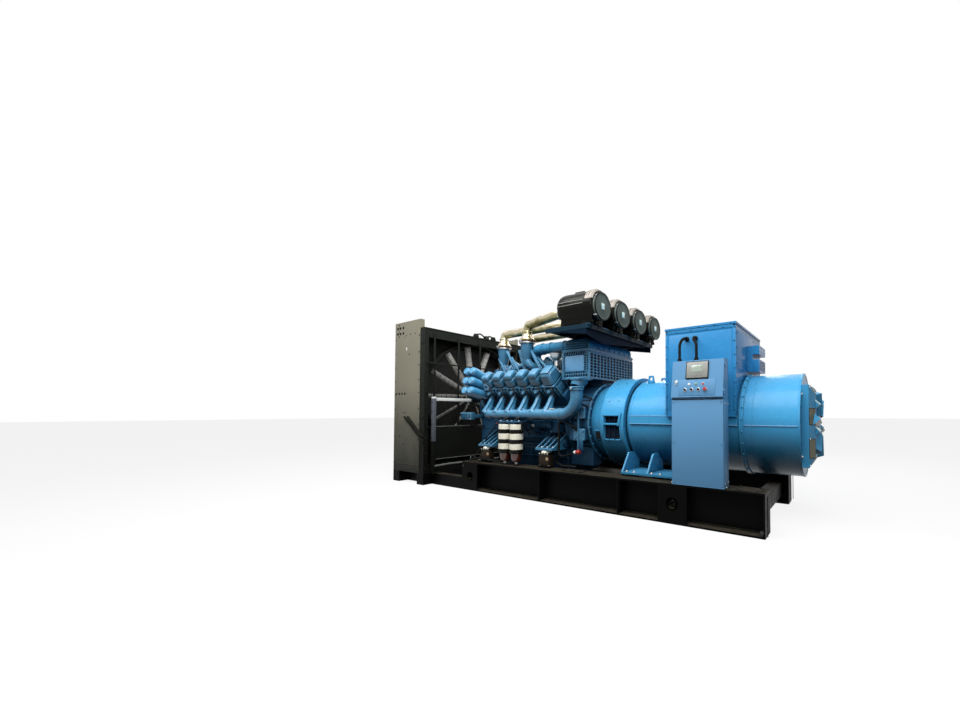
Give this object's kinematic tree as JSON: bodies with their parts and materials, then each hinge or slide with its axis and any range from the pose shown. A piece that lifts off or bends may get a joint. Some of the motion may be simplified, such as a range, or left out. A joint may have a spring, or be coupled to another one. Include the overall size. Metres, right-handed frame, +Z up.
{
  "type": "open skid-mounted diesel generator set",
  "caption": "Vee diesel engine with end-mounted radiator and fan, coupled to an alternator with terminal box and control cabinet, all on a fabricated steel skid",
  "frame": {"origin": "Centre of the bounding box's footprint, on the floor", "axes": "+Z up; X runs from the radiator (-X) to the alternator (+X); -Y is the side with the control cabinet"},
  "size_m": [6.52, 2.144, 2.71],
  "materials": {
    "skid_paint": "black machine enamel, slightly dusty",
    "radiator_paint": "black stove enamel",
    "side_plate_paint": "olive-grey painted sheet steel",
    "core_fins": "black-coated cooling fins",
    "fan_alloy": "bare cast alloy",
    "engine_dark_paint": "dark blue engine enamel",
    "engine_paint": "blue engine enamel",
    "zinc_plate": "yellow-passivated zinc plate",
    "filter_black": "gloss black enamel",
    "shelf_paint": "dark blue enamel",
    "cartridge_paint": "bright blue enamel",
    "can_paint": "cream enamel with black bands",
    "mount_rubber": "black rubber",
    "alternator_paint": "sky blue enamel",
    "cabinet_paint": "grey-blue powder coat"
  },
  "bodies": {
    "root": {"base_rails": "skid_paint", "rail_stiffeners": "skid_paint", "lifting_points": "skid_paint", "cross_members": "skid_paint", "drip_tray": "skid_paint", "radiator_base": "skid_paint", "radiator_sides": "side_plate_paint", "radiator_core": "core_fins", "radiator_tanks": "radiator_paint", "radiator_stays": "radiator_paint", "fan_shroud": "radiator_paint", "fan_guard": "radiator_paint", "belt_guard": "radiator_paint", "fan_bearing": "engine_dark_paint", "engine_block": "engine_dark_paint", "oil_sump": "engine_dark_paint", "gearcase": "engine_dark_paint", "cylinder_heads": "engine_paint", "rocker_covers": "engine_paint", "manifolds": "engine_paint", "turbochargers": "engine_dark_paint", "intake_pipes": "zinc_plate", "charge_air_cooler": "engine_paint", "cooler_hood": "engine_dark_paint", "air_filters": "filter_black", "filter_shelf": "shelf_paint", "filter_saddles": "shelf_paint", "oil_filters": "cartridge_paint", "fuel_filters": "can_paint", "engine_mounts": "mount_rubber", "engine_feet": "engine_paint", "engine_control_box": "engine_paint", "flywheel_housing": "engine_dark_paint", "alternator_adapter": "alternator_paint", "alternator_fan_ring": "alternator_paint", "alternator_frame": "alternator_paint", "alternator_feet": "alternator_paint", "alternator_gussets": "alternator_paint", "foot_pads": "skid_paint", "terminal_box": "alternator_paint", "terminal_box_lid": "alternator_paint", "regulator_box": "alternator_paint", "rear_drum": "alternator_paint", "rear_cover": "alternator_paint", "control_cabinet": "cabinet_paint", "conduits": "mount_rubber"},
    "fan": {"fan": "fan_alloy"},
    "control_door": {"control_door": "cabinet_paint"}
  },
  "joints": [
    {"name": "fan_spin", "type": "hinge", "parent": "root", "child": "fan", "pos_m": [-2.56, 0, 1.46], "axis": [1, 0, 0], "continuous": true},
    {"name": "door_swing", "type": "hinge", "parent": "root", "child": "control_door", "pos_m": [2.458, -0.90247, 1.31838], "axis": [0, 0.1505, 0.9886], "range_deg": [0, 110]}
  ]
}
